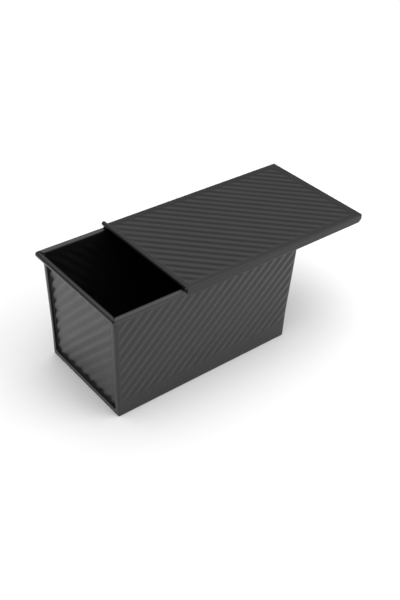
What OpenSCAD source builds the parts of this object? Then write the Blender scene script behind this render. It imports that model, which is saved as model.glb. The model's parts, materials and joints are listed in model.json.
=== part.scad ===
// Pullman loaf pan with a sliding lid. Millimetres, +Z up, origin at the middle of the underside of the base.
// X runs along the loaf. The lid is drawn out towards +X, over the far end. -Y is the near long side.

/* [Pan] */
// Length of the pan at the base, over the end seams
base_len = 195; // [140:0.5:340]
// Width of the pan at the base, over the long sides
base_wid = 107.4; // [80:0.2:160]
// Height to the top of the rolled rim
pan_h = 114; // [80:1:160]
// How far each end leans out over the height
end_flare = 4.4; // [1:0.1:8]
// How far each long side leans out over the height
side_flare = 2.5; // [1:0.1:6]
// Bend radius of the base edges
base_r = 1.2; // [1:0.1:3]
// Bend radius of the upright corners
corner_r = 3.2; // [1.2:0.1:3.5]
// Height over which the upright corners tighten to the bend of the base
corner_foot = 30; // [10:1:70]

/* [Sheet] */
// Thickness of the steel sheet
sheet_t = 0.8; // [0.5:0.05:1]
// Gap left between folded sheets
fold_gap = 0.2; // [0.1:0.05:0.4]

/* [Ribs] */
// Distance between ribs, measured square to them
rib_pitch = 8.3; // [6:0.1:14]
// Height of a wall rib from trough to crest
rib_h = 0.9; // [0.3:0.05:1.2]
// Height of a rib pressed up in the lid and in the base
top_rib_h = 0.7; // [0.3:0.05:0.7]
// Angle between the ribs and the edges of each face
rib_angle = 45; // [30:1:60]
// Plain strip beside the upright corners of a long side
side_margin = 3.6; // [3:0.1:12]
// Height at which the ribs of a long side start
side_rib_low = 14; // [6:0.5:30]
// Plain strip under the top of the rim on a long side
side_rib_drop = 9; // [7:0.5:20]
// Plain strip round the base
base_margin = 9; // [7:0.5:20]

/* [End panels] */
// Width of the wrap's folded lip at the foot of the upright corners
hem_side = 3.9; // [3.6:0.1:4.3]
// Height of the wrap's folded lip along the base
hem_low = 2.1; // [1.6:0.1:3.4]
// Plain frame from the foot of the upright corner to the pressed recess
frame_side = 4.6; // [4.3:0.1:12]
// Plain frame from the base to the pressed recess
frame_low = 5.6; // [4:0.1:12]
// Plain band from the top of the rim to the pressed recess
frame_top = 8; // [7:0.5:25]
// Depth of the pressed recess
recess_depth = 2.4; // [1.8:0.1:4]
// Corner radius of the pressed recess
recess_r = 2.5; // [1:0.1:6]

/* [Rolled rim] */
// Diameter of the wire in the rolled rim
wire_d = 3.4; // [2:0.1:5]
// Part of a full turn that the sheet makes round the wire, in degrees
curl_turn = 300; // [240:5:310]
// Gap where the curls of two sheets meet at a corner
mitre_gap = 0.3; // [0.2:0.05:0.8]

/* [Lid] */
// Length of the lid
lid_len = 213; // [160:0.5:360]
// Play between the rolled rim and each side channel
side_play = 0.7; // [0.4:0.05:1.5]
// Play between the top of the rim and the underside of the lid
top_play = 0.3; // [0.3:0.05:1]
// Play between the bottom of the rim and the channel's hook
hook_play = 1.7; // [0.5:0.05:2.5]
// How far the channel's hook reaches under the rim
hook_reach = 3.2; // [1.5:0.1:3.5]
// Bend radius of the lid's long edges
shoulder_r = 2.5; // [1.5:0.1:4]
// Bend radius at the foot of each channel
foot_r = 1.8; // [1.2:0.1:2.5]
// Outer radius of the rolled lip at the lid's leading end
lip_r = 2.1; // [1.6:0.1:3]
// Part of a full turn that the rolled lip makes, in degrees
lip_turn = 250; // [180:5:270]
// Plain strip along the long edges of the lid
lid_margin_side = 6; // [5:0.5:20]
// Plain strip along the two ends of the lid
lid_margin_end = 5; // [5:0.5:20]
// Corner cut off the ends of each channel
channel_trim = 4; // [1:0.5:6]
// How far the lid is drawn out
drawn_out = 71; // [0:1:200]

/* [Hidden] */
$fn = 48;
steel = [0.17, 0.17, 0.18];
wire_steel = [0.45, 0.45, 0.47];
// Points that draw one wave of a rib
rib_steps = 8;
// Overlap that joins two parts of one sheet
join = 0.4;
hair = 0.05;
// Half height of a cut through one wall, and a size beyond the whole part
cut_half = 6;
far_away = 1000;

// Bead: the sheet rolled round the wire
bead_r = wire_d / 2 + fold_gap + sheet_t;
bead_z = pan_h - bead_r;
end_lean = atan(end_flare / pan_h);
side_lean = atan(side_flare / pan_h);
half_len = base_len / 2;
half_wid = base_wid / 2;
// Half sizes of the outer walls at the height of the bead's centre
half_len_top = hundredth(half_len + end_flare * bead_z / pan_h);
half_wid_top = hundredth(half_wid + side_flare * bead_z / pan_h);
bead_x = half_len_top - sheet_t + bead_r;
bead_y = half_wid_top - sheet_t + bead_r;
// The tongue of an end panel lies between the wrap's lip and the recess
tongue_edge = max(base_r, corner_r) + hair;
tongue_gap = fold_gap / 2;

// Lid
lid_under = pan_h + top_play;
lid_top = lid_under + sheet_t;
lid_half = bead_y + bead_r + side_play + sheet_t;
hook_top = pan_h - 2 * bead_r - hook_play;
hook_low = hook_top - sheet_t;
hook_tip = bead_y + bead_r - hook_reach;
lid_start = drawn_out - lid_len / 2;
lip_z = lid_under + lip_r;
lip_overlap = 0.4;

// Rounded, so that faces which should meet do
function hundredth(size) = round(size * 100) / 100;

// Height of the ribs at distance s across them, as a share of the rib height:
// an even wave round a mean line, or round ridges with flat strips between
function wave(s) = cos(360 * s / rib_pitch) / 2;
function ridges(s) = max(0, -cos(360 * s / rib_pitch));

// Points along one face of a ribbed sheet, from -half to half across the ribs
function rib_line(half, height, lift, ridged) =
    let (n = 2 * ceil(half / rib_pitch) * rib_steps)
    [
        for (i = [0 : n])
            let (s = (i - n / 2) * rib_pitch / rib_steps)
            [s, height * (ridged ? ridges(s) : wave(s)) + lift]
    ];

function reversed(list) = [for (i = [len(list) - 1 : -1 : 0]) list[i]];

// Ribbed sheet that covers half on each side, its upper face lifted. The ribs lie at an angle to X.
module ribbed_sheet(half, height, lift, angle, ridged = false) {
    upper = rib_line(half, height, lift, ridged);
    lower = rib_line(half, height, lift - sheet_t, ridged);
    rotate([0, 0, angle - 90])
        rotate([90, 0, 0])
            linear_extrude(height = 2 * half, center = true)
                polygon(concat(upper, reversed(lower)));
}

// Frames of the walls: X to the right and Y up the wall as seen from outside, Z outwards
module on_near_side() {
    translate([0, -half_wid, 0]) rotate([90 + side_lean, 0, 0]) children();
}

module on_near_end() {
    rotate([0, 0, -90]) translate([0, -half_len, 0]) rotate([90 + end_lean, 0, 0]) children();
}

module at_far_side() {
    rotate([0, 0, 180]) children();
}

// Four-sided outline that widens with height, as a wall of the pan does
module wall_outline(half_low, spread, low, high) {
    polygon([
        [-half_low - spread * low / pan_h, low],
        [half_low + spread * low / pan_h, low],
        [half_low + spread * high / pan_h, high],
        [-half_low - spread * high / pan_h, high]
    ]);
}

// Slice of one upright corner at height low, with its faces moved in by inset
module corner_slice(inset, low) {
    out_x = half_len + end_flare * low / pan_h;
    out_y = half_wid + side_flare * low / pan_h;
    translate([out_x - corner_r, out_y - corner_r, low])
        cylinder(r = corner_r - inset, h = hair, $fn = 32);
}

// Solid with the shape of the pan, with its faces moved in by inset
module tapered_block(inset, high) {
    hull() {
        for (x = [0, 1]) {
            for (y = [0, 1]) {
                mirror([x, 0, 0]) {
                    mirror([0, y, 0]) {
                        translate([half_len - base_r, half_wid - base_r, base_r])
                            sphere(r = base_r - inset, $fn = 32);
                        corner_slice(inset, corner_foot);
                        corner_slice(inset, high - hair);
                    }
                }
            }
        }
    }
}

// Section of the sheet rolled round the wire, with the wall on its left
module curl_section() {
    difference() {
        circle(r = bead_r);
        circle(r = bead_r - sheet_t);
        polygon([
            [0, 0],
            [-2 * bead_r, 0],
            [-2 * bead_r, -2 * bead_r],
            2 * bead_r * [-cos(360 - curl_turn), -sin(360 - curl_turn)]
        ]);
    }
}

// Rolled edge of one side of the rim. Its outer half turns round the corner, and a mitre ends it there.
module rolled_edge(half_run, across) {
    reach = 2 * bead_r;
    cut = mitre_gap / sqrt(2);
    intersection() {
        union() {
            translate([-half_run, -across, bead_z])
                rotate([90, 0, 90])
                    linear_extrude(height = 2 * half_run)
                        mirror([1, 0]) curl_section();
            for (side = [0, 1]) {
                mirror([side, 0, 0])
                    translate([half_run, -across, bead_z])
                        rotate([0, 0, 270])
                            rotate_extrude(angle = 45)
                                intersection() {
                                    curl_section();
                                    translate([0, -reach]) square([reach, 2 * reach]);
                                }
            }
        }
        translate([0, 0, bead_z - reach])
            linear_extrude(height = 2 * reach)
                polygon([
                    [-half_run - reach + cut, -across - reach],
                    [half_run + reach - cut, -across - reach],
                    [half_run - reach - cut, -across + reach],
                    [-half_run + reach + cut, -across + reach]
                ]);
    }
}

module near_side_ribs() {
    on_near_side()
        intersection() {
            ribbed_sheet(half_len + pan_h / 2, rib_h, 0, rib_angle);
            translate([0, 0, -cut_half])
                linear_extrude(height = 2 * cut_half)
                    wall_outline(
                        half_len - side_margin + join, end_flare,
                        side_rib_low - join, pan_h - side_rib_drop + join
                    );
        }
}

module near_side_window() {
    on_near_side()
        translate([0, 0, -base_r])
            linear_extrude(height = 2 * base_r)
                wall_outline(half_len - side_margin, end_flare, side_rib_low, pan_h - side_rib_drop);
}

module base_field(grow, low, high) {
    translate([-half_len + base_margin - grow, -half_wid + base_margin - grow, low])
        cube([base_len - 2 * base_margin + 2 * grow, base_wid - 2 * base_margin + 2 * grow, high - low]);
}

// Opening in the end of the wrap, inside its folded lip
module end_window() {
    on_near_end()
        translate([0, 0, -base_r])
            linear_extrude(height = 2 * base_r)
                wall_outline(half_wid - hem_side, 0, hem_low, pan_h + cut_half);
}

// Space over the wrap's corners and end lips, where the rolled edges pass without touching them
module end_rim_space() {
    translate([corner_r + join - half_len_top - far_away, -far_away / 2, bead_z - fold_gap])
        cube([far_away, far_away, 2 * bead_r]);
}

module wrap_shell() {
    difference() {
        tapered_block(0, bead_z + hair);
        tapered_block(sheet_t, bead_z + 2 * hair);
        for (turn = [0, 180]) {
            rotate([0, 0, turn]) {
                near_side_window();
                end_window();
                end_rim_space();
            }
        }
        base_field(0, -cut_half, cut_half);
    }
}

// One sheet bent into the two long sides and the base
module pan_wrap() {
    color(steel)
        union() {
            wrap_shell();
            for (turn = [0, 180]) {
                rotate([0, 0, turn]) {
                    near_side_ribs();
                    rolled_edge(bead_x, bead_y);
                }
            }
            intersection() {
                ribbed_sheet(half_len + half_wid, top_rib_h, sheet_t, -rib_angle, ridged = true);
                base_field(join, -cut_half, cut_half);
            }
        }
}

// Outline of the pressed recess, grown by a margin
module recess_outline(grow) {
    low = frame_low - grow;
    high = pan_h - frame_top + grow;
    half = half_wid - frame_side + grow;
    r = recess_r + grow;
    hull() {
        for (x = [-1, 1]) {
            for (y = [low + r, high - r]) {
                translate([x * (half - r), y]) circle(r = r);
            }
        }
    }
}

// Flat frame of an end panel and the tongue that lies behind the wrap's lip
module end_frame() {
    step = hem_side + fold_gap;
    translate([0, 0, -sheet_t])
        linear_extrude(height = sheet_t)
            wall_outline(half_wid - step, 0, hem_low + fold_gap, pan_h);
    translate([0, 0, -2 * sheet_t - tongue_gap])
        linear_extrude(height = sheet_t)
            wall_outline(half_wid - tongue_edge, side_flare, base_r + hair, pan_h - frame_top + join);
    translate([0, 0, -2 * sheet_t])
        linear_extrude(height = 2 * sheet_t - hair)
            wall_outline(half_wid - step, 0, hem_low + fold_gap, pan_h - frame_top + sheet_t);
}

module end_panel() {
    union() {
        intersection() {
            on_near_end()
                difference() {
                    end_frame();
                    translate([0, 0, -cut_half])
                        linear_extrude(height = 2 * cut_half)
                            recess_outline(0);
                }
            translate([-far_away, -far_away, 0]) cube([2 * far_away, 2 * far_away, bead_z + hair]);
        }
        on_near_end() {
            // The recess's wall starts behind the wrap's lip
            translate([0, 0, -recess_depth - sheet_t - rib_h / 2])
                linear_extrude(height = recess_depth + rib_h / 2 - tongue_gap)
                    difference() {
                        recess_outline(sheet_t);
                        recess_outline(0);
                    }
            intersection() {
                ribbed_sheet(half_wid + pan_h / 2, rib_h, -recess_depth, rib_angle);
                translate([0, 0, -recess_depth - cut_half])
                    linear_extrude(height = recess_depth + cut_half)
                        recess_outline(sheet_t / 2);
            }
        }
        rotate([0, 0, -90]) rolled_edge(bead_y, bead_x);
    }
}

module near_end_panel() {
    color(steel) end_panel();
}

module far_end_panel() {
    color(steel) at_far_side() end_panel();
}

// Half of the wire ring: one long run and one short run, mitred where they meet
module wire_runs() {
    reach = 2 * bead_r;
    for (run = [[0, bead_x, bead_y], [-90, bead_y, bead_x]]) {
        rotate([0, 0, run[0]])
            intersection() {
                translate([-run[1] - reach, -run[2], 0])
                    rotate([0, 90, 0]) cylinder(d = wire_d, h = 2 * (run[1] + reach));
                translate([0, 0, -reach])
                    linear_extrude(height = 2 * reach)
                        polygon([
                            [-run[1] - reach, -run[2] - reach],
                            [run[1] + reach, -run[2] - reach],
                            [run[1] - reach, -run[2] + reach],
                            [-run[1] + reach, -run[2] + reach]
                        ]);
            }
    }
}

// Closed ring of wire inside the rolled rim, its corners rounded off to clear the curls
module rim_wire() {
    color(wire_steel)
        translate([0, 0, bead_z])
            difference() {
                for (turn = [0, 180]) {
                    rotate([0, 0, turn]) wire_runs();
                }
                for (x = [0, 1]) {
                    for (y = [0, 1]) {
                        mirror([x, 0, 0])
                            mirror([0, y, 0])
                                translate([bead_x, bead_y, 0])
                                    difference() {
                                        translate([0, 0, -bead_r]) cube(2 * bead_r);
                                        sphere(d = wire_d + fold_gap);
                                    }
                    }
                }
            }
}

// Quarter of a bent sheet in the first quadrant
module quarter_bend(r) {
    intersection() {
        difference() {
            circle(r = r);
            circle(r = r - sheet_t);
        }
        square(2 * r);
    }
}

// Section of one side channel: shoulder, skirt, foot and hook
module channel_section() {
    translate([lid_half - shoulder_r, lid_top - shoulder_r]) quarter_bend(shoulder_r);
    translate([lid_half - sheet_t, hook_low + foot_r])
        square([sheet_t, lid_top - shoulder_r - hook_low - foot_r]);
    translate([lid_half - foot_r, hook_low + foot_r]) mirror([0, 1]) quarter_bend(foot_r);
    translate([hook_tip, hook_low]) square([lid_half - foot_r - hook_tip, sheet_t]);
    translate([lid_half - lid_margin_side, lid_under])
        square([lid_margin_side - shoulder_r, sheet_t]);
}

module side_channel() {
    difference() {
        translate([lid_start + lip_r, 0, 0])
            rotate([90, 0, 90]) linear_extrude(height = lid_len - lip_r) channel_section();
        for (end = [lid_start + lip_r, lid_start + lid_len]) {
            translate([end, lid_half, hook_low])
                rotate([0, 45, 0])
                    cube([channel_trim * sqrt(2), far_away, channel_trim * sqrt(2)], center = true);
        }
    }
}

module lid_field(grow, low, high) {
    long = lid_len - lip_r - 2 * lid_margin_end;
    wide = 2 * (lid_half - lid_margin_side);
    translate([lid_start + lip_r + lid_margin_end - grow, -wide / 2 - grow, low])
        cube([long + 2 * grow, wide + 2 * grow, high - low]);
}

// Lip rolled up and back at the leading end of the lid
module rolled_lip() {
    long = 2 * (lid_half - lip_overlap);
    translate([lid_start + lip_r, long / 2, lip_z])
        rotate([90, 0, 0])
            linear_extrude(height = long)
                difference() {
                    circle(r = lip_r);
                    circle(r = lip_r - sheet_t);
                    rotate([0, 0, -90])
                        polygon(concat(
                            [[0, 0]],
                            [for (i = [0 : 4]) let (a = i * (360 - lip_turn) / 4) 3 * lip_r * [cos(a), sin(a)]]
                        ));
                }
}

// Ribbed sheet with a channel along each long side
module sliding_lid() {
    plate_wid = 2 * (lid_half - lid_margin_side + join);
    color(steel)
        union() {
            difference() {
                translate([lid_start + lip_r, -plate_wid / 2, lid_under])
                    cube([lid_len - lip_r, plate_wid, sheet_t]);
                lid_field(0, lid_under - cut_half, lid_top + cut_half);
            }
            intersection() {
                translate([drawn_out, 0, 0])
                    ribbed_sheet(
                        lid_len / 2 + lid_half, top_rib_h, lid_top + top_rib_h / 2, -rib_angle
                    );
                lid_field(join, lid_under - cut_half, lid_top + cut_half);
            }
            side_channel();
            mirror([0, 1, 0]) side_channel();
            rolled_lip();
        }
}

pan_wrap();
near_end_panel();
far_end_panel();
rim_wire();
sliding_lid();
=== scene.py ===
import bmesh
import bpy
import json
import math
import numpy as np
from mathutils import Matrix, Vector

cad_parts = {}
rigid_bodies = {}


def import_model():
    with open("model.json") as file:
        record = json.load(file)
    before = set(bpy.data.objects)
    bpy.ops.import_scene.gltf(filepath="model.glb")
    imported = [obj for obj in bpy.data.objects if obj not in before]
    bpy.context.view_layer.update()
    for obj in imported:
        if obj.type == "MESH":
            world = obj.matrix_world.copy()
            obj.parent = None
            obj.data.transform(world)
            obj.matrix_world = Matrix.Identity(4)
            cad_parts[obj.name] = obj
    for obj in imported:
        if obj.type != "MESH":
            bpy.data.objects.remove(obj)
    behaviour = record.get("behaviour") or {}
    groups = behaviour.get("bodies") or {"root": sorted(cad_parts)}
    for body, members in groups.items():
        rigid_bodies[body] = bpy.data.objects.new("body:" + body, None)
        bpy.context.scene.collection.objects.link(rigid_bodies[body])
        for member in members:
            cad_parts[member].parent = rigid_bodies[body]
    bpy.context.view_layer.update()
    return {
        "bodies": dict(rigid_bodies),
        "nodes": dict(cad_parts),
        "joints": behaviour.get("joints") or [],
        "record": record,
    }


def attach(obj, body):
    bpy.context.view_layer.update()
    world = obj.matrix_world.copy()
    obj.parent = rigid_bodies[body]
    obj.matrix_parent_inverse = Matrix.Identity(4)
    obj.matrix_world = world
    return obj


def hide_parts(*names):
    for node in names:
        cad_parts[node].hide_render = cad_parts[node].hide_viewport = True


# Pullman loaf pan: ribbed steel sheet with a dark non-stick coating, and a lid that slides on the rolled rim.
# Shapes are worked out in millimetres in the row frame and put into meshes in metres.

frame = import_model()
mm = 0.001    # in metres
merge = 0.01  # points closer than this become one

sheet = 0.8   # thickness of the steel

ribs = {
    "pitch": 8.3,        # square to the ribs
    "wallHeight": 0.9,   # trough to crest on the walls
    "lidHeight": 0.5,
    "baseHeight": 0.7,
}

pan = {
    "baseLength": 195.0,
    "baseWidth": 107.4,
    "height": 114.0,
    "endFlare": 4.4,     # lean of each end over the height
    "sideFlare": 2.5,
    "baseBend": 1.2,     # outer bend radius at the base
    "cornerBend": 3.2,   # and of the upright corners
    "cornerFoot": 30.0,  # the corners tighten to the base's bend below this height
    "beadRadius": 2.7,   # sheet rolled round the wire
    "curlTurn": 300,     # degrees
    "curlPoints": 25,
    "mitreGap": 0.9,     # slit between the curls at each corner
    "mitreStep": 0.25,   # of the way to the slit
    "hemSide": 3.9,      # folded lip at the foot of the upright corners
    "hemLow": 2.1,
    "gridStep": 1.4,
    "baseStep": 1.8,
    "bendPoints": 7,
    "leastBend": 0.25,
}
halfLength = pan["baseLength"] / 2
halfWidth = pan["baseWidth"] / 2
sideSlope = pan["sideFlare"] / pan["height"]
endSlope = pan["endFlare"] / pan["height"]
beadHeight = pan["height"] - pan["beadRadius"]
topHalfLength = halfLength + endSlope * beadHeight
topHalfWidth = halfWidth + sideSlope * beadHeight
beadX = topHalfLength - sheet + pan["beadRadius"]   # centre lines of the rolled rim
beadY = topHalfWidth - sheet + pan["beadRadius"]


def smooth(low, high, x):
    # 0 up to low, 1 from high, and 3t^2 - 2t^3 between, with t running from 0 to 1
    t = np.clip((x - low) / (high - low), 0, 1)
    return t * t * (3 - 2 * t)


def ribWave(across, shift):
    # Cosine from -1 in a valley to 1 on a crest, once in a pitch, moved along by shift pitches
    return np.cos(2 * np.pi * (across / ribs["pitch"] - shift))


def lines(start, stop, step):
    return np.linspace(start, stop, max(2, int(round(abs(stop - start) / step)) + 1))


def gridSheet(points, towards, keep=None):
    # Quads over a grid of points, turned so that they face the way that towards points
    rows, cols = points.shape[:2]
    index = np.arange(rows * cols).reshape(rows, cols)
    quads = np.stack([index[:-1, :-1], index[1:, :-1], index[1:, 1:], index[:-1, 1:]], -1)
    across = points[1:, 1:] - points[:-1, :-1]
    back = points[1:, :-1] - points[:-1, 1:]
    normal = np.cross(back, across)
    facing = np.broadcast_to(towards, points.shape)[:-1, :-1]
    if (normal * facing).sum() < 0:
        quads = quads[..., ::-1]
    quads = quads[keep] if keep is not None else quads.reshape(-1, 4)
    return points.reshape(-1, 3), quads


def closedSheet(faces, backs):
    # A sheet from its two faces, which number their points alike. A strip joins them along each open edge,
    # which is one that the quads of the first face run more often one way than the other
    points, behind = np.concatenate([face[0] for face in faces]), np.concatenate(backs)
    starts = np.cumsum([0] + [len(face[0]) for face in faces[:-1]])
    quads = np.concatenate([face[1] + start for face, start in zip(faces, starts)])
    edges = np.stack([quads, np.roll(quads, -1, axis=1)], -1).reshape(-1, 2)
    nudge = 0.0003  # keeps round values off the borders of the rounding
    place = np.unique(np.round(points + nudge, 3), axis=0, return_inverse=True)[1].ravel()
    count = len(points)
    ends = place[edges]
    way = np.sign(ends[:, 1] - ends[:, 0])
    line = ends.min(axis=1) * count + ends.max(axis=1)
    sameLine = np.unique(line, return_inverse=True)[1].ravel()
    surplus = np.bincount(sameLine, way)[sameLine]
    isOpen = np.flatnonzero((surplus == way) & (way != 0))
    isOpen = isOpen[np.unique(line[isOpen], return_index=True)[1]]
    strip = np.concatenate([edges[isOpen][:, ::-1], edges[isOpen] + count], axis=1)
    return np.concatenate([points, behind]), np.concatenate([quads, quads[:, ::-1] + count, strip])


def buildPiece(name, sheets, thickness, material, body, nodes):
    verts = np.concatenate([s[0] for s in sheets])
    starts = np.cumsum([0] + [len(s[0]) for s in sheets[:-1]])
    faces = np.concatenate([s[1] + start for s, start in zip(sheets, starts)])
    mesh = bpy.data.meshes.new(name)
    mesh.from_pydata((verts * mm).tolist(), [], faces.tolist())
    bm = bmesh.new()
    bm.from_mesh(mesh)
    bmesh.ops.remove_doubles(bm, verts=bm.verts, dist=merge * mm)
    bmesh.ops.delete(bm, geom=[v for v in bm.verts if not v.link_faces], context="VERTS")
    bm.to_mesh(mesh)
    bm.free()
    mesh.shade_smooth()
    obj = bpy.data.objects.new(name, mesh)
    bpy.context.scene.collection.objects.link(obj)
    if thickness:
        wall = obj.modifiers.new("sheetThickness", "SOLIDIFY")
        wall.thickness = thickness * mm
        wall.offset = -1
        wall.use_rim = True
    mesh.materials.append(material)
    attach(obj, body)
    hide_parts(*nodes)


# Materials

def linear(hexColour):
    # sRGB hex to linear light
    channels = np.array([int(hexColour[i:i + 2], 16) for i in (1, 3, 5)]) / 255
    light = np.where(channels <= 0.04045, channels / 12.92, ((channels + 0.055) / 1.055) ** 2.4)
    return (*light.tolist(), 1.0)


def addNode(tree, kind, inputs=None, **settings):
    node = tree.nodes.new(kind)
    for key, value in settings.items():
        setattr(node, key, value)
    for key, value in (inputs or {}).items():
        if isinstance(value, bpy.types.NodeSocket):
            tree.links.new(value, node.inputs[key])
        else:
            node.inputs[key].default_value = value
    return node


coating = {
    "darkColour": "#141415",
    "paleColour": "#1C1C1D",
    "cloudSize": 28.0,        # mm, slow change of tone across a face
    "speckleSize": 0.9,       # mm, sprayed grain
    "peelSize": 1.6,          # mm, orange peel of the sprayed coat
    "peelDepth": 0.008,       # mm
    "toneRange": (0.1, 0.45),  # cloud times speckle: dark and glossy at the first, pale and dull at the second
    "panRoughness": (0.27, 0.34),
    "panIor": 1.5,
    "lidRoughness": (0.30, 0.37),
    "lidIor": 1.41,           # the lid's coat is the duller of the two
}


def nonStickCoating(name, roughness, ior):
    # Silicone non-stick coat, sprayed on steel and baked: near black, with a soft satin gloss and faint grain
    material = bpy.data.materials.new(name)
    material.use_nodes = True
    tree = material.node_tree
    tree.nodes.clear()
    place = addNode(tree, "ShaderNodeTexCoord").outputs["Object"]
    cloud = addNode(tree, "ShaderNodeTexNoise", {
        "Vector": place, "Scale": 1 / (coating["cloudSize"] * mm), "Detail": 3.0})
    speckle = addNode(tree, "ShaderNodeTexNoise", {
        "Vector": place, "Scale": 1 / (coating["speckleSize"] * mm), "Detail": 2.0})
    peel = addNode(tree, "ShaderNodeTexNoise", {
        "Vector": place, "Scale": 1 / (coating["peelSize"] * mm), "Detail": 1.0})
    blend = addNode(tree, "ShaderNodeMath", {0: cloud.outputs["Fac"], 1: speckle.outputs["Fac"]},
                    operation="MULTIPLY")
    low, high = coating["toneRange"]
    tone = addNode(tree, "ShaderNodeMapRange", {
        "Value": blend.outputs[0], "From Min": low, "From Max": high, "To Min": 0.0, "To Max": 1.0})
    # sockets 6 and 7 are the two colours
    colour = addNode(tree, "ShaderNodeMix", {
        "Factor": tone.outputs["Result"],
        6: linear(coating["darkColour"]),
        7: linear(coating["paleColour"])}, data_type="RGBA")
    rough = addNode(tree, "ShaderNodeMapRange", {
        "Value": blend.outputs[0], "From Min": low, "From Max": high,
        "To Min": roughness[0], "To Max": roughness[1]})
    bump = addNode(tree, "ShaderNodeBump", {
        "Height": peel.outputs["Fac"], "Strength": 1.0, "Distance": coating["peelDepth"] * mm})
    shader = addNode(tree, "ShaderNodeBsdfPrincipled", {
        "Base Color": colour.outputs[2], "Roughness": rough.outputs["Result"], "IOR": ior,
        "Normal": bump.outputs["Normal"]})
    addNode(tree, "ShaderNodeOutputMaterial", {"Surface": shader.outputs["BSDF"]})
    return material


wireSteel = {
    "colour": "#3C3C3E",
    "roughness": (0.40, 0.55),
    "drawLength": 6.0,   # mm, streaks along the drawn wire
}


def drawnWire():
    # Annealed steel wire: dark grey metal with a dull shine, streaked by drawing
    material = bpy.data.materials.new("drawn_steel_wire")
    material.use_nodes = True
    tree = material.node_tree
    tree.nodes.clear()
    place = addNode(tree, "ShaderNodeTexCoord").outputs["Object"]
    streak = addNode(tree, "ShaderNodeTexNoise", {
        "Vector": place, "Scale": 1 / (wireSteel["drawLength"] * mm), "Detail": 4.0})
    low, high = wireSteel["roughness"]
    rough = addNode(tree, "ShaderNodeMapRange", {
        "Value": streak.outputs["Fac"], "To Min": low, "To Max": high})
    shader = addNode(tree, "ShaderNodeBsdfPrincipled", {
        "Base Color": linear(wireSteel["colour"]), "Metallic": 1.0, "Roughness": rough.outputs["Result"]})
    addNode(tree, "ShaderNodeOutputMaterial", {"Surface": shader.outputs["BSDF"]})
    return material


panCoat = nonStickCoating("pan_non_stick_coating", coating["panRoughness"], coating["panIor"])
lidCoat = nonStickCoating("lid_non_stick_coating", coating["lidRoughness"], coating["lidIor"])
wireMetal = drawnWire()
print("materials ready")


# Pan wrap: one sheet bent into the two long sides and the base, with a lip folded in at each end

wrap = {
    "ribLow": 19.0,       # the ribs of a long side fade in from here ...
    "ribFade": 5.0,       # ... over this far each way
    "ribTopGap": 9.0,     # plain strip under the top of the rim
    "ribSideGap": 3.2,    # plain strip beside an upright corner
    "softEdge": 1.6,
    "ribShift": 0.42,
    "baseGap": 9.0,
    "rimRelief": 0.3,     # corners stay this far under the end's curl
    "baseSoftEdge": 2.0,
    "bendStep": 12,       # degrees, round the upright corners
    "lipRows": (0.35, 0.7, 1.0),
}


def beadRing(places, halfRun, sideways, radius=pan["beadRadius"]):
    # Curl of radius r round the wire. A point at angle a lies r cos a outwards and r sin a up, with a falling
    # from 180 degrees, where the sheet leaves the wall, by the turn of the curl. The curl's outer half turns
    # round the corner by 45 degrees - asin(half the gap / reach). Its inner half runs on by reach - slit.
    a = np.radians(180 - np.linspace(0, pan["curlTurn"], pan["curlPoints"]))
    reach = radius * np.cos(a)
    lift = radius * np.sin(a)
    slit = pan["mitreGap"] / math.sqrt(2)
    last = halfRun + np.minimum(reach - slit, 0)
    turn = np.pi / 4 - np.arcsin(pan["mitreGap"] / 2 / np.maximum(reach, slit))
    steps = lines(0, 1, pan["mitreStep"])[1:, None]
    straight = places[-1] + steps * (last - places[-1])
    corner = np.concatenate([0 * straight, steps * turn])
    straight = np.concatenate([straight, last + 0 * steps])
    along = np.concatenate([-straight[::-1], places[:, None] + 0 * reach, straight])
    angle = np.concatenate([-corner[::-1], np.zeros((len(places), len(a))), corner])
    first = along + np.maximum(reach, 0) * np.sin(angle)
    second = sideways + np.where(reach > 0, reach * np.cos(angle), reach)
    height = beadHeight + lift + 0 * first
    outward = (np.maximum(reach, 0) * np.sin(angle), reach * np.cos(angle), lift + 0 * first)
    return first, second, height, outward


def wrapOutline(inset, top):
    # Half section of the wrap from the rim down the wall, round the bend and to the middle of the base.
    # inset moves it in: the wall and the base by inset, and the bend's radius is what is left of it.
    stretch = math.hypot(1, sideSlope)
    wallPart = lines(0, 1, pan["gridStep"] / beadHeight)
    arcPart = np.linspace(0, 1, pan["bendPoints"])[1:]
    basePart = lines(0, 1, pan["baseStep"] / halfWidth)[1:]
    columns = np.concatenate([wallPart, arcPart, basePart])
    isWall = np.arange(len(columns)) < len(wallPart)
    isBase = np.arange(len(columns)) >= len(wallPart) + len(arcPart)
    isArc = ~isWall & ~isBase
    bend = np.maximum(pan["baseBend"] - inset, pan["leastBend"])
    centreZ = inset + bend
    centreY = halfWidth + sideSlope * centreZ - (inset + bend) * stretch
    lean = math.atan(sideSlope)
    footZ = centreZ - bend * math.sin(lean)
    wallZ = top + (footZ - top) * columns
    wallY = halfWidth + sideSlope * wallZ - inset * stretch
    angle = -lean - columns * (math.pi / 2 - lean)
    z = np.where(isWall, wallZ, np.where(isArc, centreZ + bend * np.sin(angle), inset))
    y = np.where(isWall, wallY, np.where(isArc, centreY + bend * np.cos(angle), centreY * (1 - columns)))
    outY = np.where(isWall, math.cos(lean), np.where(isArc, np.cos(angle), 0))
    outZ = np.where(isWall, -math.sin(lean), np.where(isArc, np.sin(angle), -1))
    return y, z, outY, outZ, columns, isWall, isBase


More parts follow.
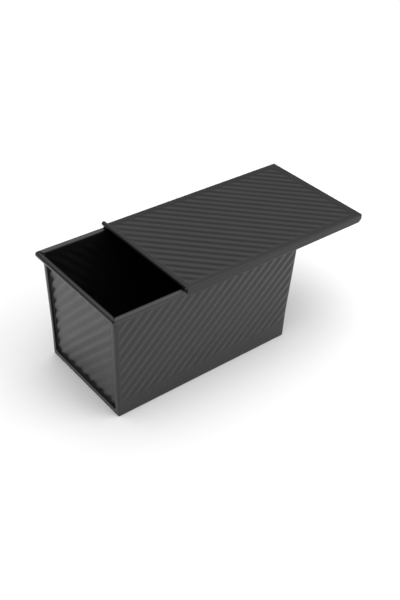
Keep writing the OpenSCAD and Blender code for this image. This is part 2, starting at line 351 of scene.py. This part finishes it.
def makeWrap():
    # The half section carried along X. A row runs along the side (rowRun, -1 to 1), round a corner's quarter
    # circle (rowBend) or on into its lip (rowLip, 0 to 1). The row's inset is
    # outerBend - innerBend cos(rowBend) + rowLip (hem - outerBend), and the ribs move it along its normal.
    probe = wrapOutline(np.array(sheet), np.array(beadHeight))
    columns, isWall, isBase = probe[4], probe[5], probe[6]
    above = (probe[1] - pan["baseBend"]) / (pan["cornerFoot"] - pan["baseBend"])
    above = np.where(isWall, np.clip(above, 0, 1), 0)
    outerBend = pan["baseBend"] + (pan["cornerBend"] - pan["baseBend"]) * above
    innerBend = outerBend - sheet
    hem = np.where(isBase, pan["hemLow"], pan["hemSide"] + (pan["hemLow"] - pan["hemSide"]) * columns)
    hem = np.where(isWall, pan["hemSide"] + sideSlope * probe[1], hem)
    runs = lines(-1, 1, pan["gridStep"] / halfLength)
    bends = np.radians(lines(0, 90, wrap["bendStep"]))[1:]
    lips = np.array(wrap["lipRows"])
    rowRun = np.concatenate([-np.ones(len(bends)), runs, np.ones(len(bends))])
    rowBend = np.concatenate([-bends[::-1], np.zeros(len(runs)), bends])
    rowLip = np.concatenate([lips[::-1], np.zeros(len(rowRun)), lips])
    rowRun = np.pad(rowRun, len(lips), constant_values=(-1, 1))
    rowBend = np.pad(rowBend, len(lips), constant_values=(-math.pi / 2, math.pi / 2))
    inset = outerBend - innerBend * np.cos(rowBend)[:, None]
    inset = inset + rowLip[:, None] * (hem - outerBend)
    top = np.where(rowBend != 0, beadHeight - wrap["rimRelief"], beadHeight)[:, None]
    y, z, outY, outZ = wrapOutline(inset, top)[:4]
    x = rowRun[:, None] * (halfLength + endSlope * z - outerBend) + innerBend * np.sin(rowBend)[:, None]
    flat = (rowBend == 0)[:, None]
    centre = np.array([0, 0, pan["height"] / 2])
    sheets = []
    for side in (-1, 1):
        # Ribs rise to the right at 45 degrees as seen from outside
        right = -side * x
        edge = halfLength + endSlope * z - np.abs(x)
        wallRib = ribWave((right - z) / math.sqrt(2), wrap["ribShift"]) * ribs["wallHeight"] / 2
        wallMask = smooth(wrap["ribSideGap"], wrap["ribSideGap"] + wrap["softEdge"], edge)
        wallMask = wallMask * smooth(wrap["ribLow"] - wrap["ribFade"], wrap["ribLow"] + wrap["ribFade"], z)
        wallMask = wallMask * smooth(0, wrap["softEdge"], pan["height"] - wrap["ribTopGap"] - z)
        baseRib = ribWave((x + side * y) / math.sqrt(2), 0) * ribs["baseHeight"] / 2 + ribs["baseHeight"] / 2
        baseMask = smooth(wrap["baseGap"], wrap["baseGap"] + wrap["baseSoftEdge"], halfLength - np.abs(x))
        baseMask = baseMask * smooth(wrap["baseGap"], wrap["baseGap"] + wrap["baseSoftEdge"], halfWidth - y)
        out = np.where(isWall, wallRib * wallMask, np.where(isBase, -baseRib * baseMask, 0)) * flat
        points = np.stack([x, side * (y + out * outY), z + out * outZ], -1)
        sheets.append(gridSheet(points, centre - points))
        first, second, height, outward = beadRing(runs * (topHalfLength - pan["cornerBend"]), beadX, beadY)
        curl = np.stack([first, side * second, height], -1)
        sheets.append(gridSheet(curl, np.stack([outward[0], side * outward[1], outward[2]], -1)))
    buildPiece("pan_wrap_sheet", sheets, sheet, panCoat, "pan", ["pan_wrap"])


makeWrap()
print("pan wrap ready")


# End panels: flat frame, pressed recess with ribs, top edge rolled round the wire

endPanel = {
    "frameSide": 4.6,
    "frameLow": 5.6,
    "frameTop": 8.0,
    "recessDepth": 2.4,
    "recessCorner": 2.5,
    "edgeBend": 0.25,     # bend radii of the outer face, where the frame drops into the recess ...
    "footBend": 0.3,      # ... and where the recess's wall meets its floor
    "innerEdgeBend": 0.05,
    "wallRun": 0.06,      # the recess's wall is this far from upright
    "tongueEdge": 3.25,   # the tongue behind the wrap's lip starts here
    "tongueLow": 1.25,
    "tongueDepth": 0.95,
    "seam": 0.2,
    "ribEdge": 0.6,       # the ribs fade in over this width
    "ribTop": (98.0, 105.0),
    "ribShift": 0.87,
    "roundFade": 0.25,    # the recess's rounded corners turn square over this width of the frame
    "aboveFade": (1.0, 3.0),  # over the recess the columns of both faces become the same here
    "step": 1.1,
    "fineStep": 0.35,
    "fineWidth": 3.0,
    "edgePoints": 4,
    "footPoints": 7,
    "lowerRows": 4,       # of the frame under the recess and over it
    "upperRows": 6,
}


def recessSteps(depthIn):
    # Distance inside the recess's wall and depth, for the face that lies depthIn under the outer one: a
    # quarter circle over the frame's edge, the upright wall, and a quarter circle round the foot's bend
    e = endPanel
    bend = max(e["edgeBend"] - depthIn, e["innerEdgeBend"])
    foot = e["footBend"] + depthIn
    over = np.radians(np.linspace(0, 90, e["edgePoints"]))
    into = np.radians(np.linspace(0, 90, e["footPoints"]))
    inside = np.concatenate([-depthIn - bend + bend * np.sin(over), [e["wallRun"] / 2 - depthIn],
                             e["footBend"] + e["wallRun"] - foot * np.cos(into)])
    footDepth = e["recessDepth"] - e["footBend"] + foot * np.sin(into)
    edgeDepth = depthIn + bend - bend * np.cos(over)
    depth = np.concatenate([edgeDepth, [(edgeDepth[-1] + footDepth[0]) / 2], footDepth])
    return inside, depth


def endFace(depthIn):
    # One face of an end panel, depthIn under the outer one. u runs to the right as seen from outside.
    e = endPanel
    border = halfWidth - e["frameSide"]
    low, high = e["frameLow"], pan["height"] - e["frameTop"]
    lipGap = e["frameSide"] - pan["hemSide"]
    tongue = e["frameSide"] - e["tongueEdge"]
    inside, depth = recessSteps(depthIn)
    start = -inside[0]
    bent = e["footBend"] + e["wallRun"]
    floorDepth = e["recessDepth"] + depthIn
    # columns from the tongue's edge to the middle, by their distance inside the recess's wall
    frame = np.array([-tongue, -lipGap, e["seam"] - lipGap])
    if start > lipGap - e["seam"]:
        frame = np.linspace(-tongue, -start, len(frame) + 1)[:-1]
    fine = lines(bent, bent + e["fineWidth"], e["fineStep"])[1:]
    coarse = lines(bent + e["fineWidth"], border, e["step"])[1:]
    colInside = np.concatenate([frame, inside, fine, coarse])
    colDepth = np.concatenate([0 * frame + depthIn, depth, 0 * fine + floorDepth, 0 * coarse + floorDepth])
    outerInside = np.concatenate([[-tongue, -lipGap, e["seam"] - lipGap], recessSteps(0)[0], fine, coarse])
    mirrored = np.concatenate([-np.ones(len(colInside)), np.ones(len(colInside) - 1)])
    colInside, outerInside, colDepth = (
        np.concatenate([half, half[-2::-1]]) for half in (colInside, outerInside, colDepth))
    # rows from the tongue's foot to the rolled rim
    lower = [e["tongueLow"], pan["hemLow"], pan["hemLow"] + e["seam"] / 2]
    foot = np.linspace(pan["hemLow"] + e["seam"], low - start, e["lowerRows"] + 1)[:-1]
    foot = np.concatenate([lower, foot])
    middle = lines(low + bent + e["fineWidth"], high - bent - e["fineWidth"], e["step"])[1:-1]
    head = np.linspace(high + start, beadHeight, e["upperRows"] + 1)[1:]
    z = np.concatenate([foot, low + inside, low + fine, middle, high - fine[::-1], high - inside[::-1], head])
    rowDepth = np.concatenate([0 * foot + depthIn, depth, 0 * fine + floorDepth, 0 * middle + floorDepth,
                               0 * fine + floorDepth, depth[::-1], 0 * head + depthIn])
    rowInside = np.minimum(z - low, high - z)
    z = z[:, None] + 0 * colInside[None, :]
    # above the recess the columns of both faces are the same
    above = smooth(high + e["aboveFade"][0], high + e["aboveFade"][1], z)
    colInside = colInside[None, :] * (1 - above) + outerInside[None, :] * above
    rowInside = rowInside[:, None] + 0 * z
    # the recess's corners: squares round a corner's centre become circles
    r = e["recessCorner"]
    aside, over = r - colInside, r - rowInside
    square = np.maximum(aside, over)
    isCorner = (aside > 0) & (over > 0)
    shrink = np.where(isCorner, square / np.maximum(np.hypot(aside, over), 1e-6), 1)
    shrink = shrink + (1 - shrink) * np.clip((square - r - start) / e["roundFade"], 0, 1)
    u = mirrored * (border - colInside)
    u = np.where(isCorner, mirrored * (border - r + aside * shrink), u)
    isLow = z < (low + high) / 2
    z = np.where(isCorner, np.where(isLow, low + r - over * shrink, high - r + over * shrink), z)
    inward = np.where(isCorner, r - square, np.minimum(colInside, rowInside))
    # beyond the lip's edge the panel widens with the wall
    widen = np.clip((-colInside - max(lipGap, start)) / (tongue - max(lipGap, start)), 0, 1)
    u = u + mirrored * widen * sideSlope * z
    seamIn = smooth(0, e["seam"], lipGap + colInside) * smooth(pan["hemLow"], pan["hemLow"] + e["seam"], z)
    deep = np.minimum(colDepth[None, :], rowDepth[:, None])
    deep = np.maximum(deep, depthIn + e["tongueDepth"] * (1 - seamIn))
    ribMask = smooth(bent, bent + e["ribEdge"], inward) * (1 - smooth(*e["ribTop"], z))
    rib = ribWave((u - z) / math.sqrt(2), e["ribShift"]) * ribs["wallHeight"] / 2 * ribMask
    x = -(halfLength + endSlope * z) + deep - rib
    # u runs towards -Y at this end
    return np.stack([x, -u, z], -1)


def makeEndPanel(name, node, turned):
    inner, outer = endFace(sheet), endFace(0)
    # over the recess the two outermost columns on each side, the tongue's, are left out
    drop = np.zeros(outer.shape[:2], bool)
    drop[:, [0, 1, -2, -1]] = True
    drop &= outer[..., 2] > pan["height"] - endPanel["frameTop"] + endPanel["aboveFade"][0]
    keep = ~(drop[:-1, :-1] | drop[1:, :-1] | drop[:-1, 1:] | drop[1:, 1:])
    faces = [gridSheet(inner, np.array([1.0, 0, 0]), keep)]
    backs = [outer.reshape(-1, 3)]
    for face, radius in ((inner, pan["beadRadius"]), (outer, pan["beadRadius"] - sheet)):
        places = -face[-1, ~drop[-1], 1]
        first, second, height, outward = beadRing(places, beadY, beadX, radius)
        curl = np.stack([-second, first, height], -1)
        if radius == pan["beadRadius"]:
            faces.append(gridSheet(curl, np.stack([-outward[1], outward[0], outward[2]], -1)))
        else:
            backs.append(curl.reshape(-1, 3))
    points, quads = closedSheet(faces, backs)
    if turned:
        points = points * [-1, -1, 1]
    buildPiece(name, [(points, quads)], None, panCoat, "pan", [node])


makeEndPanel("near_end_sheet", "near_end_panel", False)
makeEndPanel("far_end_sheet", "far_end_panel", True)
print("end panels ready")


# Lid: ribbed plate with a channel along each long side and a rolled lip at its leading end

lid = {
    "length": 213.0,
    "drawnOut": 71.0,
    "topPlay": 0.3,
    "sidePlay": 0.7,
    "hookPlay": 1.7,
    "hookReach": 3.2,
    "shoulder": 1.4,
    "foot": 1.8,
    "lipRadius": 2.1,
    "lipTurn": 250,
    "lipOverlap": 0.4,
    "trim": 4.0,          # corner cut off the ends of each channel
    "ribSideGap": 6.0,
    "ribLipGap": 5.0,
    "ribEndGap": 6.5,
    "softEdge": 2.0,
    "ribShift": 0.5,
    "step": 1.3,
    "hookStep": 0.7,
    "skirtStep": 1.0,
    "bendPoints": 9,
    "lipPoints": 17,
}
beadOuter = beadY + pan["beadRadius"]


def channelPath():
    # Outer face of one channel from the hook's tip round the foot, up the skirt and over the shoulder:
    # straight runs joined by quarter circles
    top = pan["height"] + lid["topPlay"] + sheet
    half = beadOuter + lid["sidePlay"] + sheet
    low = pan["height"] - 2 * pan["beadRadius"] - lid["hookPlay"] - sheet
    tip = beadOuter - lid["hookReach"]
    quarter = np.radians(np.linspace(0, 90, lid["bendPoints"]))
    foot, shoulder = lid["foot"], lid["shoulder"]
    hookY = lines(tip, half - foot, lid["hookStep"])[:-1]
    footY = half - foot + foot * np.sin(quarter)
    footZ = low + foot - foot * np.cos(quarter)
    skirtZ = lines(low + foot, top - shoulder, lid["skirtStep"])[1:-1]
    shoulderY = half - shoulder + shoulder * np.cos(quarter)
    shoulderZ = top - shoulder + shoulder * np.sin(quarter)
    y = np.concatenate([hookY, footY, np.full(len(skirtZ), half), shoulderY])
    z = np.concatenate([np.full(len(hookY), low), footZ, skirtZ, shoulderZ])
    return y, z, top, half, low


def makeLid():
    # The section of both channels and the plate carried along X: x = start + cut + run (end - start - 2 cut),
    # where cut trims the low corners. The plate rises by half the rib height times 1 + the rib's cosine.
    channelY, channelZ, top, half, low = channelPath()
    plateY = lines(-(half - lid["shoulder"]), half - lid["shoulder"], lid["step"])[1:-1]
    y = np.concatenate([-channelY, plateY, channelY[::-1]])
    z = np.concatenate([channelZ, np.full(len(plateY), top), channelZ[::-1]])
    start = lid["drawnOut"] - lid["length"] / 2 + lid["lipRadius"]
    end = lid["drawnOut"] + lid["length"] / 2
    cut = np.maximum(0, lid["trim"] - (z - low))
    run = lines(0, 1, lid["step"] / lid["length"])
    x = (start + cut)[None, :] + run[:, None] * (end - start - 2 * cut)[None, :]
    wave = ribWave((x + y[None, :]) / math.sqrt(2), lid["ribShift"]) * ribs["lidHeight"] / 2
    mask = smooth(lid["ribSideGap"], lid["ribSideGap"] + lid["softEdge"], half - np.abs(y))[None, :]
    mask = mask * smooth(lid["ribLipGap"], lid["ribLipGap"] + lid["softEdge"], x - start)
    mask = mask * smooth(lid["ribEndGap"], lid["ribEndGap"] + lid["softEdge"], end - x)
    points = np.stack([x, y[None, :] + 0 * x, z[None, :] + (wave + ribs["lidHeight"] / 2) * mask], -1)
    centre = np.array([lid["drawnOut"], 0, pan["height"]])
    sheets = [gridSheet(points, points - centre)]
    # Lip: the plate's upper face becomes the inside of a curl, centred lipRadius over the plate's underside
    flat = y[np.abs(y) < half - lid["shoulder"] + merge]
    edgeY = half - lid["lipOverlap"]
    lipY = np.unique(np.round(np.concatenate([flat, [-edgeY, edgeY]]), 4))
    inner = lid["lipRadius"] - sheet
    a = np.radians(-90 - np.linspace(0, lid["lipTurn"], lid["lipPoints"]))
    lipX = start + inner * np.cos(a)
    lipZ = top + inner + inner * np.sin(a)
    lip = np.stack(np.broadcast_arrays(lipX[:, None], lipY[None, :], lipZ[:, None]), -1)
    inward = np.stack(np.broadcast_arrays(-np.cos(a)[:, None], 0 * lipY[None, :], -np.sin(a)[:, None]), -1)
    sheets.append(gridSheet(lip, inward))
    buildPiece("lid_sheet", sheets, sheet, lidCoat, "lid", ["sliding_lid"])


makeLid()
print("lid ready")

wire = frame["nodes"]["rim_wire"]
wire.data.materials.clear()
wire.data.materials.append(wireMetal)


# Floor, light and camera

studio = {
    "floorColour": "#EDEDED",
    "floorRoughness": 0.9,
    "floorIor": 1.05,
    "floorHalf": 6000.0,       # mm
    "backdrop": 1.0,           # radiance of the backdrop that the camera sees past the floor
    "tentColour": "#FFFFFF",
    "tentLow": 0.18,           # radiance of the tent near the floor
    "tentUpper": (1.35, 2.5),  # what its upper part adds at the top, and the power it rises with
    "tentTop": (1.8, 8.0),     # and its bright top
    "aim": (0.0, 0.0, 50.0),
    "softboxes": {             # azimuth, elevation, distance, width, height, radiance
        "key_softbox": (311, 15, 1500, 1100, 700, 1.0),
        "low_softbox": (300, 6, 900, 900, 200, 1.05),
        "high_softbox": (311, 45, 1500, 1100, 700, 1.7),
        "back_softbox": (49, 50, 1500, 1300, 700, 0.42),
    },
}

floorMesh = bpy.data.meshes.new("floor")
reach = studio["floorHalf"] * mm
floorMesh.from_pydata([(-reach, -reach, 0), (reach, -reach, 0), (reach, reach, 0), (-reach, reach, 0)],
                      [], [(0, 1, 2, 3)])
floor = bpy.data.objects.new("floor", floorMesh)
bpy.context.scene.collection.objects.link(floor)
# White painted sweep: matt, with next to no gloss
floorPaint = bpy.data.materials.new("white_sweep")
floorPaint.use_nodes = True
floorShader = floorPaint.node_tree.nodes["Principled BSDF"]
floorShader.inputs["Base Color"].default_value = linear(studio["floorColour"])
floorShader.inputs["Roughness"].default_value = studio["floorRoughness"]
floorShader.inputs["IOR"].default_value = studio["floorIor"]
floorMesh.materials.append(floorPaint)

# Light tent: radiance low + upper z^rise + top z^rise, with z the height of the direction looked in.
# Behind the floor's edge the view shows a plain pale backdrop.
world = bpy.data.worlds.new("light_tent")
world.use_nodes = True
tent = world.node_tree
tent.nodes.clear()
looking = addNode(tent, "ShaderNodeTexCoord").outputs["Generated"]
height = addNode(tent, "ShaderNodeSeparateXYZ", {"Vector": looking}).outputs["Z"]
height = addNode(tent, "ShaderNodeMath", {0: height, 1: 0.0}, operation="MAXIMUM").outputs[0]
radiance = studio["tentLow"]
for strength, rise in (studio["tentUpper"], studio["tentTop"]):
    part = addNode(tent, "ShaderNodeMath", {0: height, 1: rise}, operation="POWER").outputs[0]
    radiance = addNode(tent, "ShaderNodeMath", {0: part, 1: strength, 2: radiance},
                       operation="MULTIPLY_ADD").outputs[0]
glow = addNode(tent, "ShaderNodeBackground", {"Color": linear(studio["tentColour"]), "Strength": radiance})
backdrop = addNode(tent, "ShaderNodeBackground", {
    "Color": linear(studio["tentColour"]), "Strength": studio["backdrop"]})
seen = addNode(tent, "ShaderNodeLightPath").outputs["Is Camera Ray"]
shown = addNode(tent, "ShaderNodeMixShader", {
    0: seen, 1: glow.outputs["Background"], 2: backdrop.outputs["Background"]})
addNode(tent, "ShaderNodeOutputWorld", {"Surface": shown.outputs["Shader"]})
bpy.context.scene.world = world


def addSoftbox(name, azimuth, elevation, distance, width, height, radiance):
    # The power of an evenly bright rectangle is pi times its radiance times its area
    data = bpy.data.lights.new(name, "AREA")
    data.shape = "RECTANGLE"
    data.size, data.size_y = width * mm, height * mm
    data.energy = math.pi * radiance * data.size * data.size_y
    turn, rise = math.radians(azimuth), math.radians(elevation)
    away = Vector((math.cos(rise) * math.cos(turn), math.cos(rise) * math.sin(turn), math.sin(rise)))
    place = (Vector(studio["aim"]) + away * distance) * mm
    light = bpy.data.objects.new(name, data)
    bpy.context.scene.collection.objects.link(light)
    light.matrix_world = Matrix.Translation(place) @ away.to_track_quat("Z", "Y").to_matrix().to_4x4()


for name, values in studio["softboxes"].items():
    addSoftbox(name, *values)


view = {
    "azimuth": 49.35,        # of the line of sight, from +X towards +Y
    "elevation": 36.61,      # looking down
    "roll": 3.15,
    "target": (16.2, -20.8, 58.0),
    "distance": 797.0,
    "lens": 51.9,
    "sensor": 36.0,          # height of the picture
}
azimuth, elevation, roll = (math.radians(view[k]) for k in ("azimuth", "elevation", "roll"))
sight = Vector((math.cos(elevation) * math.cos(azimuth), math.cos(elevation) * math.sin(azimuth),
                -math.sin(elevation)))
right = sight.cross(Vector((0, 0, 1))).normalized()
up = right.cross(sight)
cameraRight = right * math.cos(roll) + up * math.sin(roll)
cameraUp = up * math.cos(roll) - right * math.sin(roll)
cameraPlace = (Vector(view["target"]) - sight * view["distance"]) * mm
cameraData = bpy.data.cameras.new("camera")
cameraData.sensor_fit = "VERTICAL"
cameraData.sensor_height = view["sensor"]
cameraData.lens = view["lens"]
camera = bpy.data.objects.new("camera", cameraData)
bpy.context.scene.collection.objects.link(camera)
camera.matrix_world = Matrix((
    (cameraRight.x, cameraUp.x, -sight.x, cameraPlace.x),
    (cameraRight.y, cameraUp.y, -sight.y, cameraPlace.y),
    (cameraRight.z, cameraUp.z, -sight.z, cameraPlace.z),
    (0, 0, 0, 1)))
bpy.context.scene.camera = camera
bpy.context.scene.view_settings.view_transform = "Standard"
print("studio ready")

bpy.context.view_layer.update()
